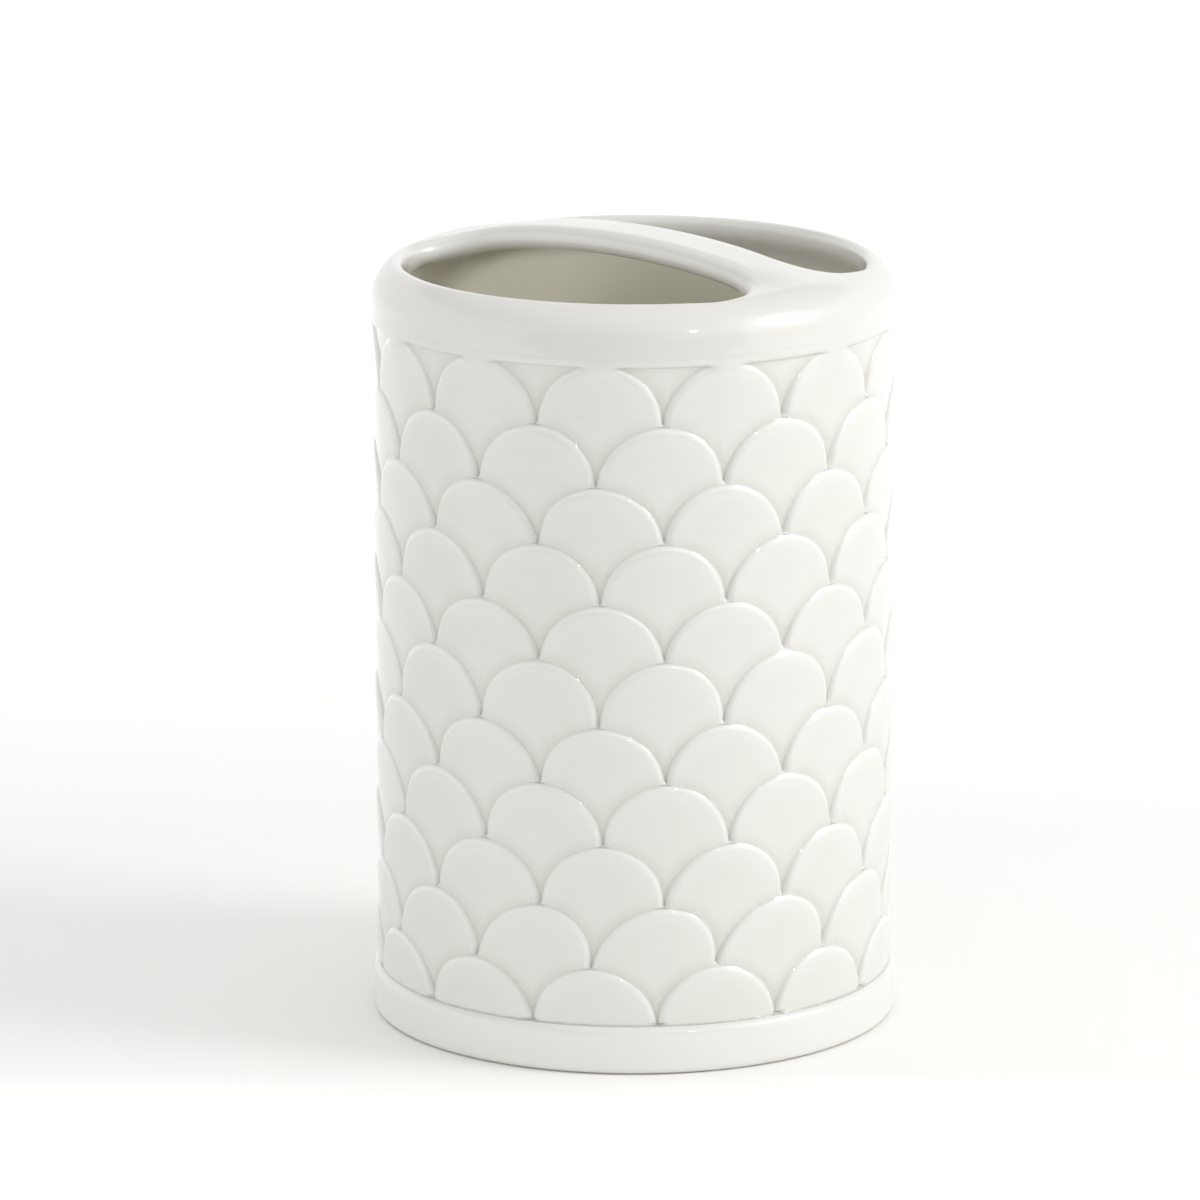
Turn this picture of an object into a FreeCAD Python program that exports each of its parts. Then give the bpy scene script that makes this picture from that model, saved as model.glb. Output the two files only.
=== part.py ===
import FreeCAD, Part
import math
import os

import Sketcher
from FreeCAD import Placement, Rotation, Vector

# Toothbrush holder: a white glazed ceramic cup with a fish-scale relief all round it.
# Its domed top has two half-moon mouths, and the bridge between them rises in a low arch.
# The foot stands on Z = 0, the cup's axis is Z, and the front faces -Y.

# Driving sizes, in millimetres and degrees, and counts
SIZES = [
    # Overall radius at the collar, and height to the rim
    ("cup_radius", 38.1),
    ("rim_height", 111.9),
    # Wall and floor of the cup
    ("wall_thickness", 2.3),
    ("floor_thickness", 3.6),
    ("floor_rounding", 4.0),
    # Plain band round the base, which stands out past the collar, and the foot ring under it
    ("band_step", 0.3),
    ("band_height", 7.1),
    ("band_lip_rounding", 1.3),
    ("foot_rounding", 1.2),
    ("foot_ring_width", 4.0),
    ("foot_recess", 1.2),
    # Plain collar above the scales, which stands out from the wall, and the cup's share of it
    ("collar_step", 1.2),
    ("collar_height", 9.0),
    ("collar_foot_rounding", 0.5),
    ("cup_collar_height", 1.1),
    # Lap joint that seats the top on the cup
    ("lap_width", 1.3),
    ("lap_depth", 1.5),
    ("slip_thickness", 0.3),
    ("joint_groove_depth", 0.2),
    # Rows of scales: each scale leans out from its root to its tip
    ("scale_row_count", 11),
    ("scales_per_row", 13),
    ("scale_turn", -7.6),
    ("first_notch_rise", 0.7),
    ("scale_relief", 1.1),
    ("scale_root_depth", 1.5),
    # Domed top and its two mouths
    ("dome_rise", 3.7),
    ("top_wall", 3.4),
    ("rim_overhang", 1.3),
    ("bridge_width", 10.0),
    ("bridge_turn", 138.5),
    ("mouth_corner_radius", 8.0),
    # How far a cutting tool runs past what it cuts
    ("overrun", 2.0),
]

# Shares of the sizes that they follow
BAND_LIP_LIMIT_SHARE = 0.95
RELIEF_FOOT_SHARE = 0.5
COLLAR_COVER_SHARE = 0.35
SCALE_RISE_SHARE = 0.97
SHOULDER_SHARE = 0.96
LIP_TOP_SHARE = 0.56
LIP_UNDER_SHARE = 0.33
EDGE_MATCH_SHARE = 0.01

# Heights and radii that several pieces share, as formulas of the sheet
WALL_RADIUS = "(sizes.cup_radius - sizes.collar_step)"
CAVITY_RADIUS = "(%s - sizes.wall_thickness)" % WALL_RADIUS
BAND_RADIUS = "(sizes.cup_radius + sizes.band_step)"
FOOT_RING_INNER_RADIUS = "(%s - sizes.foot_ring_width)" % BAND_RADIUS
LAP_RADIUS = "(%s + sizes.lap_width)" % CAVITY_RADIUS
SPIGOT_RADIUS = "(%s - sizes.slip_thickness)" % LAP_RADIUS
MOUTH_RADIUS = "(%s - sizes.rim_overhang)" % CAVITY_RADIUS
FLOOR_HEIGHT = "(sizes.foot_recess + sizes.floor_thickness)"
COLLAR_FOOT_HEIGHT = "(sizes.rim_height - sizes.collar_height)"
JOINT_HEIGHT = "(%s + sizes.cup_collar_height)" % COLLAR_FOOT_HEIGHT
LAP_HEIGHT = "(%s - sizes.lap_depth)" % JOINT_HEIGHT
TOP_FOOT_HEIGHT = "(%s + sizes.slip_thickness)" % JOINT_HEIGHT
SPIGOT_FOOT_HEIGHT = "(%s + sizes.slip_thickness)" % LAP_HEIGHT
CREST_HEIGHT = "(sizes.rim_height + sizes.dome_rise)"
DOME_RADIUS = "((%s^2 + sizes.dome_rise^2) / (2 * sizes.dome_rise))" % MOUTH_RADIUS
DOME_CENTRE_HEIGHT = "(%s - %s)" % (CREST_HEIGHT, DOME_RADIUS)
SHOULDER_HEIGHT = "(%s + sqrt(%s^2 - sizes.cup_radius^2))" % (DOME_CENTRE_HEIGHT, DOME_RADIUS)
FIRST_NOTCH_HEIGHT = "(sizes.band_height + sizes.first_notch_rise)"
TOP_TIP_HEIGHT = "(%s + %s * sizes.cup_collar_height)" % (COLLAR_FOOT_HEIGHT, COLLAR_COVER_SHARE)
SCALE_PITCH = "((%s - %s) / (sizes.scale_row_count - 1 + %s))" % (
    TOP_TIP_HEIGHT, FIRST_NOTCH_HEIGHT, SCALE_RISE_SHARE)
SCALE_TIP_RADIUS = "(%s + sizes.scale_relief)" % WALL_RADIUS


def make_sheet(doc):
    sheet = doc.addObject("Spreadsheet::Sheet", "sizes")
    for row, (alias, value) in enumerate(SIZES, start=1):
        sheet.set("A%d" % row, alias)
        sheet.set("B%d" % row, str(value))
        sheet.setAlias("B%d" % row, alias)
    doc.recompute()
    return sheet


def value_of(sheet, formula):
    return float(sheet.evalExpression(formula.replace("sizes.", "")))


def bind(piece, formulas):
    for name, formula in formulas.items():
        piece.setExpression(name, formula)


def primitive(doc, kind, name, formulas):
    piece = doc.addObject(kind, name)
    bind(piece, formulas)
    return piece


def boolean(doc, kind, name, base, tool):
    piece = doc.addObject(kind, name)
    piece.Base = base
    piece.Tool = tool
    return piece


def edge_points(edge):
    """The two ends of an edge and two points between them."""
    start, end = edge.FirstParameter, edge.LastParameter
    return [edge.valueAt(start + (end - start) * part / 3) for part in range(4)]


def ring_edges(shape, radius, height):
    """Numbers of the level round edges of this radius at this height."""
    reach = EDGE_MATCH_SHARE * radius
    numbers = []
    for number, edge in enumerate(shape.Edges, start=1):
        if edge.Degenerated:
            continue
        points = edge_points(edge)
        at_radius = all(abs(math.hypot(point.x, point.y) - radius) < reach for point in points)
        at_height = all(abs(point.z - height) < reach for point in points)
        if at_radius and at_height:
            numbers.append(number)
    return numbers


def turned_body(doc, sheet, name, steps):
    """A body turned round Z from a stepped half section. Each step is the radius that the
    outline runs to, level, and then the height that it rises or falls to at that radius."""
    body = doc.addObject("PartDesign::Body", name)
    section = body.newObject("Sketcher::SketchObject", name + "_section")
    plane = [item for item in body.Origin.OriginFeatures if item.Role == "XZ_Plane"][0]
    section.AttachmentSupport = [(plane, "")]
    section.MapMode = "FlatFace"

    radii = [value_of(sheet, radius) for radius, height in steps]
    heights = [value_of(sheet, height) for radius, height in steps]
    for index in range(len(steps)):
        start = Vector(radii[index - 1], heights[index - 1], 0)
        corner = Vector(radii[index], heights[index - 1], 0)
        end = Vector(radii[index], heights[index], 0)
        section.addGeometry(Part.LineSegment(start, corner))
        section.addGeometry(Part.LineSegment(corner, end))

    line_count = 2 * len(steps)
    for line in range(line_count):
        following = (line + 1) % line_count
        section.addConstraint(Sketcher.Constraint("Coincident", line, 2, following, 1))
    for index, (radius, height) in enumerate(steps):
        run, rise = 2 * index, 2 * index + 1
        section.addConstraint(Sketcher.Constraint("Horizontal", run))
        section.addConstraint(Sketcher.Constraint("Vertical", rise))
        place_line(section, "DistanceX", rise, 1, radii[index], radius, -2)
        place_line(section, "DistanceY", rise, 2, heights[index], height, -1)

    turning = body.newObject("PartDesign::Revolution", name + "_turning")
    turning.Profile = section
    turning.ReferenceAxis = (section, ["V_Axis"])
    turning.Angle = 360
    doc.recompute()
    return body


def place_line(section, kind, line, end, value, formula, axis):
    """Set one end of a line at a distance from the sketch's origin, or on an axis at zero."""
    if value == 0:
        section.addConstraint(Sketcher.Constraint("PointOnObject", line, end, axis))
        return
    place = section.addConstraint(Sketcher.Constraint(kind, -1, 1, line, end, value))
    section.setExpression("Constraints[%d]" % place, formula)


def round_ring(doc, sheet, body, name, radius, height, rounding_formula):
    """Round the level edge of a turned body that has this radius and height."""
    base = body.Tip
    numbers = ring_edges(base.Shape, value_of(sheet, radius), value_of(sheet, height))
    rounding = body.newObject("PartDesign::Fillet", name)
    rounding.Base = (base, ["Edge%d" % number for number in numbers])
    rounding.setExpression("Radius", rounding_formula)
    doc.recompute()


def make_cup_turning(doc, sheet):
    """The cup before its scales and lap: foot ring, band, wall, floor and collar."""
    body = turned_body(doc, sheet, "cup_turning", [
        (FOOT_RING_INNER_RADIUS, "0"),
        (BAND_RADIUS, "sizes.band_height"),
        (WALL_RADIUS, COLLAR_FOOT_HEIGHT),
        ("sizes.cup_radius", JOINT_HEIGHT),
        (CAVITY_RADIUS, FLOOR_HEIGHT),
        ("0", "sizes.foot_recess"),
    ])
    ledge = "(sizes.band_step + sizes.collar_step)"
    band_lip = "min(sizes.band_lip_rounding; %s * %s)" % (BAND_LIP_LIMIT_SHARE, ledge)
    round_ring(doc, sheet, body, "foot_edge", BAND_RADIUS, "0", "sizes.foot_rounding")
    round_ring(doc, sheet, body, "band_lip", BAND_RADIUS, "sizes.band_height", band_lip)
    round_ring(doc, sheet, body, "collar_foot", "sizes.cup_radius", COLLAR_FOOT_HEIGHT,
               "sizes.collar_foot_rounding")
    round_ring(doc, sheet, body, "floor_corner", CAVITY_RADIUS, FLOOR_HEIGHT, "sizes.floor_rounding")
    return body


def make_scale_blank(doc):
    """One scale, its tip at the origin's height: a round disc set into the wall, whose face
    leans out from the wall at its root to the full relief at its tip."""
    notch_radius = "(%s + sizes.scale_relief / 2)" % WALL_RADIUS
    half_width = "(%s * sin(180deg / sizes.scales_per_row))" % notch_radius
    rise = "(%s * %s)" % (SCALE_RISE_SHARE, SCALE_PITCH)
    disc_radius = "((%s^2 + %s^2) / (2 * %s))" % (half_width, rise, rise)
    face = primitive(doc, "Part::Cone", "scale_face", {
        "Radius1": WALL_RADIUS,
        "Radius2": SCALE_TIP_RADIUS,
        "Height": "2 * " + SCALE_PITCH,
        "Placement.Base.z": "-2 * " + SCALE_PITCH,
    })
    disc = doc.addObject("Part::Cylinder", "scale_disc")
    disc.Placement = Placement(Vector(0, 0, 0), Rotation(Vector(1, 0, 0), 90))
    bind(disc, {
        "Radius": disc_radius,
        "Height": "sizes.scale_root_depth + sizes.scale_relief + sizes.overrun",
        "Placement.Base.y": "sizes.scale_root_depth - " + WALL_RADIUS,
        "Placement.Base.z": "-" + disc_radius,
    })
    return boolean(doc, "Part::Common", "scale_blank", face, disc)


def make_scale_relief(doc, sheet, blank):
    """Rings of scales from the band up to the collar, each ring turned by half a scale."""
    count = int(sheet.scales_per_row)
    step = 360 / count
    pitch = value_of(sheet, SCALE_PITCH)
    first_tip = value_of(sheet, FIRST_NOTCH_HEIGHT) + SCALE_RISE_SHARE * pitch
    scales = []
    for place in range(count):
        turn = Rotation(Vector(0, 0, 1), place * step)
        scales.append(blank.Shape.transformed(Placement(Vector(0, 0, 0), turn).toMatrix()))
    ring = scales[0].multiFuse(scales[1:])

    rings = []
    for row in range(int(sheet.scale_row_count)):
        turn = Rotation(Vector(0, 0, 1), sheet.scale_turn + (row % 2) * step / 2)
        lift = Vector(0, 0, first_tip + row * pitch)
        rings.append(ring.transformed(Placement(lift, turn).toMatrix()))
    start = RELIEF_FOOT_SHARE * sheet.band_height
    room_height = value_of(sheet, JOINT_HEIGHT) - start
    room = Part.makeCylinder(value_of(sheet, BAND_RADIUS), room_height, Vector(0, 0, start))
    rings[0] = rings[0].common(room)

    relief = doc.addObject("Part::Feature", "scale_relief")
    relief.Shape = rings[0].multiFuse(rings[1:])
    return relief


def make_cast_cup(doc, sheet):
    turning = make_cup_turning(doc, sheet)
    blank = make_scale_blank(doc)
    doc.recompute()
    relief = make_scale_relief(doc, sheet, blank)
    scaled = boolean(doc, "Part::Fuse", "scaled_cup", turning, relief)
    lap = primitive(doc, "Part::Cylinder", "lap_recess", {
        "Radius": LAP_RADIUS,
        "Height": "sizes.lap_depth + sizes.overrun",
        "Placement.Base.z": LAP_HEIGHT,
    })
    return boolean(doc, "Part::Cut", "cast_cup", scaled, lap)


def make_luting_slip(doc, sheet):
    """The ring of clay slip that beds the top on the cup, a Z in section that fills the lap."""
    slip_outer_radius = "(sizes.cup_radius - sizes.joint_groove_depth)"
    return turned_body(doc, sheet, "luting_slip", [
        (LAP_RADIUS, JOINT_HEIGHT),
        (slip_outer_radius, TOP_FOOT_HEIGHT),
        (SPIGOT_RADIUS, SPIGOT_FOOT_HEIGHT),
        (CAVITY_RADIUS, LAP_HEIGHT),
    ])


def make_ball(doc, name, radius):
    """A ball round the dome's centre, with its poles level so that none lies on the dome."""
    ball = doc.addObject("Part::Sphere", name)
    ball.Placement = Placement(Vector(0, 0, 0), Rotation(Vector(1, 0, 0), 90))
    bind(ball, {"Radius": radius, "Placement.Base.z": DOME_CENTRE_HEIGHT})
    return ball


def make_top_shell(doc, sheet):
    """The domed top before its mouths are cut: shoulder, dome and the spigot under it."""
    block = primitive(doc, "Part::Cylinder", "top_block", {
        "Radius": "sizes.cup_radius",
        "Height": "%s - %s" % (CREST_HEIGHT, TOP_FOOT_HEIGHT),
        "Placement.Base.z": TOP_FOOT_HEIGHT,
    })
    dome = make_ball(doc, "dome", DOME_RADIUS)
    cap = boolean(doc, "Part::Common", "top_cap", block, dome)
    doc.recompute()
    rounding = SHOULDER_SHARE * (sheet.cup_radius - value_of(sheet, MOUTH_RADIUS))
    shoulder = ring_edges(cap.Shape, sheet.cup_radius, value_of(sheet, SHOULDER_HEIGHT))
    shouldered = doc.addObject("Part::Fillet", "shouldered_cap")
    shouldered.Base = cap
    shouldered.Edges = [(number, rounding, rounding) for number in shoulder]

    spigot = primitive(doc, "Part::Cylinder", "spigot", {
        "Radius": SPIGOT_RADIUS,
        "Height": "%s - %s + sizes.lap_depth" % (TOP_FOOT_HEIGHT, SPIGOT_FOOT_HEIGHT),
        "Placement.Base.z": SPIGOT_FOOT_HEIGHT,
    })
    solid_top = boolean(doc, "Part::Fuse", "solid_top", shouldered, spigot)
    bore = primitive(doc, "Part::Cylinder", "top_bore", {
        "Radius": CAVITY_RADIUS,
        "Height": "%s - %s + sizes.overrun" % (CREST_HEIGHT, SPIGOT_FOOT_HEIGHT),
        "Placement.Base.z": SPIGOT_FOOT_HEIGHT + " - sizes.overrun",
    })
    vault = make_ball(doc, "vault", DOME_RADIUS + " - sizes.top_wall")
    hollow = boolean(doc, "Part::Common", "top_hollow", bore, vault)
    return boolean(doc, "Part::Cut", "top_shell", solid_top, hollow)


def make_mouth_cutter(doc, sheet, name, turn):
    """The half-moon that one mouth takes out of the top, to the left of the bridge's line."""
    height = "%s - %s + sizes.overrun" % (CREST_HEIGHT, TOP_FOOT_HEIGHT)
    upright = Rotation(Vector(0, 0, 1), turn)
    disc = doc.addObject("Part::Cylinder", name + "_disc")
    disc.Placement = Placement(Vector(0, 0, 0), upright)
    bind(disc, {"Radius": MOUTH_RADIUS, "Height": height, "Placement.Base.z": TOP_FOOT_HEIGHT})
    side = doc.addObject("Part::Box", name + "_side")
    side.Placement = Placement(Vector(0, 0, 0), upright)
    along, across = "cos(%s deg)" % turn, "sin(%s deg)" % turn
    bind(side, {
        "Length": "2 * sizes.cup_radius",
        "Width": "sizes.cup_radius",
        "Height": height,
        "Placement.Base.x": "-sizes.cup_radius * %s - sizes.bridge_width / 2 * %s" % (along, across),
        "Placement.Base.y": "-sizes.cup_radius * %s + sizes.bridge_width / 2 * %s" % (across, along),
        "Placement.Base.z": TOP_FOOT_HEIGHT,
    })
    half_moon = boolean(doc, "Part::Common", name + "_half_moon", disc, side)
    doc.recompute()
    corners = [
        number for number, edge in enumerate(half_moon.Shape.Edges, start=1)
        if edge.BoundBox.ZLength > sheet.top_wall]
    cutter = doc.addObject("Part::Fillet", name + "_cutter")
    cutter.Base = half_moon
    cutter.Edges = [(number, sheet.mouth_corner_radius, sheet.mouth_corner_radius) for number in corners]
    return cutter


def round_lips(doc, sheet, name, base, sphere_radius, rounding):
    """Round every mouth edge that lies on a sphere of this radius round the dome's centre."""
    doc.recompute()
    centre = Vector(0, 0, value_of(sheet, DOME_CENTRE_HEIGHT))
    mouth_radius = value_of(sheet, MOUTH_RADIUS)
    reach = EDGE_MATCH_SHARE * sheet.top_wall
    edges = []
    for number, edge in enumerate(base.Shape.Edges, start=1):
        if edge.Degenerated:
            continue
        points = edge_points(edge)
        on_sphere = all(abs(point.distanceToPoint(centre) - sphere_radius) < reach for point in points)
        in_mouth = all(math.hypot(point.x, point.y) < mouth_radius + reach for point in points)
        if on_sphere and in_mouth:
            edges.append((number, rounding, rounding))
    lips = doc.addObject("Part::Fillet", name)
    lips.Base = base
    lips.Edges = edges
    return lips


def make_bridged_top(doc, sheet):
    """The top with both mouths cut and their lips rounded over and under."""
    opened = make_top_shell(doc, sheet)
    for name, turn in (("front_mouth", sheet.bridge_turn), ("back_mouth", sheet.bridge_turn + 180)):
        cutter = make_mouth_cutter(doc, sheet, name, turn)
        opened = boolean(doc, "Part::Cut", "top_with_" + name, opened, cutter)
    outer = value_of(sheet, DOME_RADIUS)
    inner = outer - sheet.top_wall
    rounded_over = round_lips(doc, sheet, "lips_over", opened, outer, LIP_TOP_SHARE * sheet.top_wall)
    return round_lips(doc, sheet, "bridged_top", rounded_over, inner, LIP_UNDER_SHARE * sheet.top_wall)


def check(doc, nodes):
    for item in doc.Objects:
        if "Invalid" in item.State or "Error" in item.State:
            raise RuntimeError("%s did not rebuild: %s" % (item.Label, item.State))
    for node in nodes:
        if node.Shape.isNull() or not node.Shape.isValid() or len(node.Shape.Solids) != 1:
            raise RuntimeError("%s is not one sound solid" % node.Label)


def main():
    doc = FreeCAD.newDocument("toothbrush_holder")
    sheet = make_sheet(doc)
    nodes = [
        make_cast_cup(doc, sheet),
        make_luting_slip(doc, sheet),
        make_bridged_top(doc, sheet),
    ]
    doc.recompute()
    check(doc, nodes)
    os.makedirs("parts", exist_ok=True)
    for node in nodes:
        node.Shape.exportStep("parts/%s.step" % node.Label)
        box = node.Shape.optimalBoundingBox()
        print("%s: %.1f cm3, Z %.2f to %.2f, radius %.2f" % (
            node.Label, node.Shape.Volume / 1000, box.ZMin, box.ZMax, box.XMax))


main()
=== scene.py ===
import math

import bmesh
import bpy
import numpy as np
from mathutils import Matrix, Vector


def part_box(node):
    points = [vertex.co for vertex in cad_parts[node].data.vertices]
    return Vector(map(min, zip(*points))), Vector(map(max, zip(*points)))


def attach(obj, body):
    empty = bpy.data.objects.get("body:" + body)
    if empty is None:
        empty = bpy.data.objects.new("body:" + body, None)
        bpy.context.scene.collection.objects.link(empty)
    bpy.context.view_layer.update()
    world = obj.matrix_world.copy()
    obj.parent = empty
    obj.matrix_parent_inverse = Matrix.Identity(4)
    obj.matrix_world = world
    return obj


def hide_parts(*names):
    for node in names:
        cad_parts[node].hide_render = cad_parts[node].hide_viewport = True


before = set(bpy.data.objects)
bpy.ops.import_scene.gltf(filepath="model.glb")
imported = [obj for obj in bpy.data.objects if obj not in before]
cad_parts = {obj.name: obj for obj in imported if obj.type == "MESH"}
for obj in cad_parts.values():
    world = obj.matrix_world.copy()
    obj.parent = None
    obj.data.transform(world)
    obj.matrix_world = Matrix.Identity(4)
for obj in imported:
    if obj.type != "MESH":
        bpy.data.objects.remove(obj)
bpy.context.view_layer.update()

# Toothbrush holder: a white glazed ceramic cup with a fish-scale relief, and a domed top with
# two half-moon mouths. Shapes are worked out in millimetres and written in metres. Azimuths
# are counted from the front, -Y, towards +X.

MM = 0.001

# Sizes that the frame gives
cup_box = np.array(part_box("cast_cup")) / MM
top_box = np.array(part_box("bridged_top")) / MM
slip_box = np.array(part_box("luting_slip")) / MM
BAND_RADIUS = np.abs(cup_box[:, :2]).min()
COLLAR_RADIUS = np.abs(top_box[:, :2]).min()
LAP_HEIGHT = slip_box[0, 2]
SPIGOT_FOOT_HEIGHT = top_box[0, 2]
JOINT_HEIGHT = cup_box[1, 2]
TOP_FOOT_HEIGHT = slip_box[1, 2]
CREST_HEIGHT = top_box[1, 2]

# Turned shape of the cup and the joint
CAVITY_RADIUS = 34.6
LAP_RADIUS = 35.9
SPIGOT_RADIUS = 35.6
FLOOR_HEIGHT = 4.8
FLOOR_ROUNDING = 4.0
FOOT_RING_INNER_RADIUS = 34.4
FOOT_ROUNDING = 1.2
FOOT_INNER_ROUNDING = 0.5
FOOT_RECESS = 1.2
GLAZE_STOPS_DEGREES = -52
FOOT_INNER_STOP_DEGREES = -150
BAND_HEIGHT = 7.1
BAND_LIP_ROUNDING = 1.3
BAND_LIP_START_DEGREES = 65
# Rise from the scales to the collar: heights above the relief, and shares of the way out
COLLAR_FOOT_RISES = [0.0, 0.05, 0.12, 0.22, 0.36, 0.54, 0.80]
COLLAR_FOOT_SHARES = [0.0, 0.16, 0.42, 0.68, 0.86, 0.96, 1.0]
JOINT_ROUNDING = 0.03
SLIP_RADIUS = 38.09
SLIP_HOLLOW = 0.01

# Scale relief: rows from the bottom up, each given by the height of its notches and how far it
# is shifted round the cup by hand
NOTCH_HEIGHTS = [7.9, 15.9, 24.9, 33.8, 42.9, 51.3, 60.9, 69.0, 77.7, 86.0, 94.7]
ROW_SHIFTS = [-0.9, -1.2, 0.2, 0.6, 0.4, -0.2, 0.2, 0.2, 0.1, -0.4, 0.0]
SCALES_PER_ROW = 13
FIRST_NOTCH_DEGREES = 6.3
TOP_ROW_RISE = 8.55
TIP_GAP = 0.45
RELIEF_RADIUS = 37.4
TIP_RADIUS = 37.95
LEAN = 0.9
RELIEF_FOOT = 7.35
RELIEF_TOP = 102.7
# Edges of the scales, rounded off under the glaze, and the valleys between them
GROOVE_DEPTH = 0.05
GROOVE_WIDTH = 1.1
CORNER_DEPTH = 0.30
CORNER_REACH = 3.0
EDGE_WIDTH = 1.10
EDGE_POWER = 2.2
# A border round each scale lies a little below its face
BORDER_DROP = 0.05
BORDER_WIDTH = 1.25
BORDER_STEP = 0.6
FACE_TILT = 0.05
FLUSH_HEIGHT = 2.4
STEP_POOL_AND_SHADE = 0.8
# How the glaze gathers beside the edges and in the notches, darkened there with painted shade as
# well, and thins over the borders, lightened there with painted highlights as well
EDGE_POOL_AND_SHADE = 0.45
POOL_AND_SHADE_WIDTH = 1.35
NOTCH_POOL_AND_SHADE_REACH = 4.0
POOL_AND_SHADE_POWER = 4
THIN_AND_HIGHLIGHT_PLACES = (0.55, 1.75)
THIN_AND_HIGHLIGHT_SHARES = (1.0, 0.5)
THIN_AND_HIGHLIGHT_WIDTH = 0.42
THIN_AND_HIGHLIGHT_LOW_SHARE = 0.35
OFF_EDGE_POWER = 8
# The plain band is painted paler all round: painted light for the light it lacks low on the cup
BAND_PAINTED_LIGHT = -0.6
# How the rows wander, as work done by hand does: waves given by their counts round the cup and
# up it, and their phase
HAND_DRIFT = 0.06
HAND_SWING = 0.5
HAND_LEAN = 0.35
UP_WAVES = [(3, 9, 0), (8, -17, 1)]
ROUND_WAVES = [(5, 13, 2), (2, -23, 0)]
# Mesh of each scale
ARC_SEGMENTS = 24
CUT_ARC_SEGMENTS = 11
TOP_LINE_SEGMENTS = 6
GAP_LINE_SEGMENTS = 18
RING_DEPTHS = [0.0, 0.10, 0.23, 0.39, 0.60, 0.88, 1.26, 1.70, 2.6, 4.8, 9.5]
CENTRE_LIFT = 1.5

# Domed top and mouths
RIM_OVERHANG = 1.3
DOME_RISE = 3.7
TOP_WALL = 3.4
BRIDGE_WIDTH = 10.0
BRIDGE_DEGREES = 48.5
MOUTH_CORNER_RADIUS = 8.0
SHOULDER_WIDTH = 5.6
SHOULDER_DROP = 5.3
SHOULDER_POWER = 2.3
LIP_OVER_ROUNDING = 2.0
LIP_UNDER_ROUNDING = 1.2
INNER_FILLET = 3.0
# Both ends of each mouth dip a little
DIP_DEPTH = 0.6
DIP_PLACE = (29.0, 9.0)
DIP_REACH = (6.0, 7.0)
# Rows of the lips' top with thin glaze and a painted highlight, and the inner rows where the painted
# shade of the inside fades out
LIP_THIN_AND_HIGHLIGHT_ROWS = 3
UNDER_SHADE_SHARES = (0.8, 0.5, 0.2)
# Mesh of the turned shapes: steps of their arcs, and rows as shares of the way
BAND_LIP_STEPS = 6
FOOT_STEPS = 4
BARE_STEPS = 3
CUP_EDGE_STEPS = 3
TOP_EDGE_STEPS = 4
FLOOR_CORNER_STEPS = 6
LEDGE_SHARES = [0, 0.25, 0.7]
BAND_SHARES = (0.7, 0.4)
RECESS_SHARES = (0.98, 0.6, 0.25)
FLOOR_SHARES = (0.6, 0.3, 0.1)
WALL_ROWS = 5
COLLAR_ROWS = 4
GUARD_HEIGHT = 3 * JOINT_ROUNDING
# Mesh of each half of the top
LINE_COLUMNS = 60
INNER_CORNER_COLUMNS = 26
OUTER_CORNER_COLUMNS = 22
RIM_COLUMNS = 120
LIP_ROWS = 9
OVER_ROWS = 26
UNDER_ROWS = 9
SLIP_COLUMNS = 240
FINE_COLUMNS = 2000
FINE_ROWS = 400

GLAZED, BARE = 0, 1
SHARP_DEGREES = 70
WELD_REACH = 0.0008
LEAST = 1e-9
SEED = 7


class Skin:
    """Collects grids of points, in millimetres, and welds them into one closed mesh. Each point says
    how the glaze lies there and where light or shade is painted: above zero where it pools and where
    painted shade darkens the valleys, notches and steps, below zero where it thins over edges and
    where a painted highlight lightens the arc tops, the lips and the plain band. It also says how far
    it is inside the cup, from 0 to 1, where the finishes paint the shade of the inside."""

    def __init__(self):
        self.points = []
        self.glaze_and_painted_light = []
        self.inside = []
        self.faces = []
        self.finishes = []
        self.count = 0

    def add_points(self, points, glaze_and_painted_light, inside):
        points = points.reshape(-1, 3)
        first = self.count
        self.points.append(points)
        self.glaze_and_painted_light.append(np.broadcast_to(glaze_and_painted_light, len(points)))
        self.inside.append(np.broadcast_to(inside, len(points)))
        self.count += len(points)
        return first

    def add_faces(self, faces, finish):
        self.faces += faces.tolist()
        self.finishes += [finish] * len(faces)

    def add_grid(self, points, glaze_and_painted_light=0.0, inside=0.0, finish=GLAZED):
        """Quads over rows and columns of points, with the last column joined to the first."""
        rows, columns = points.shape[:2]
        glaze_and_painted_light, inside = [np.broadcast_to(value, (rows, columns)).ravel() for value in (glaze_and_painted_light, inside)]
        first = self.add_points(points, glaze_and_painted_light, inside)
        index = first + np.arange(rows * columns).reshape(rows, columns)
        index = np.hstack([index, index[:, :1]])
        corners = [index[:-1, :-1], index[:-1, 1:], index[1:, 1:], index[1:, :-1]]
        self.add_faces(np.stack(corners, -1).reshape(-1, 4), finish)

    def add_fan(self, ring, centre, glaze_and_painted_light=0.0, inside=0.0, finish=GLAZED):
        """Triangles from a closed ring of points to one point inside it."""
        first = self.add_points(np.vstack([ring, centre]), glaze_and_painted_light, inside)
        index = first + np.arange(len(ring))
        middle = np.full(len(ring), first + len(ring))
        self.add_faces(np.stack([index, np.roll(index, -1), middle], -1), finish)

    def make(self, name, materials):
        mesh = bpy.data.meshes.new(name)
        mesh.from_pydata((np.vstack(self.points) * MM).tolist(), [], self.faces)
        for material in materials:
            mesh.materials.append(material)
        mesh.polygons.foreach_set("material_index", self.finishes)
        for layer_name, values in (("glaze_and_painted_light", self.glaze_and_painted_light), ("inside", self.inside)):
            layer = mesh.attributes.new(layer_name, "FLOAT", "POINT")
            layer.data.foreach_set("value", np.concatenate(values))
        weld(mesh)
        piece = bpy.data.objects.new(name, mesh)
        bpy.context.scene.collection.objects.link(piece)
        return piece


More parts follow.
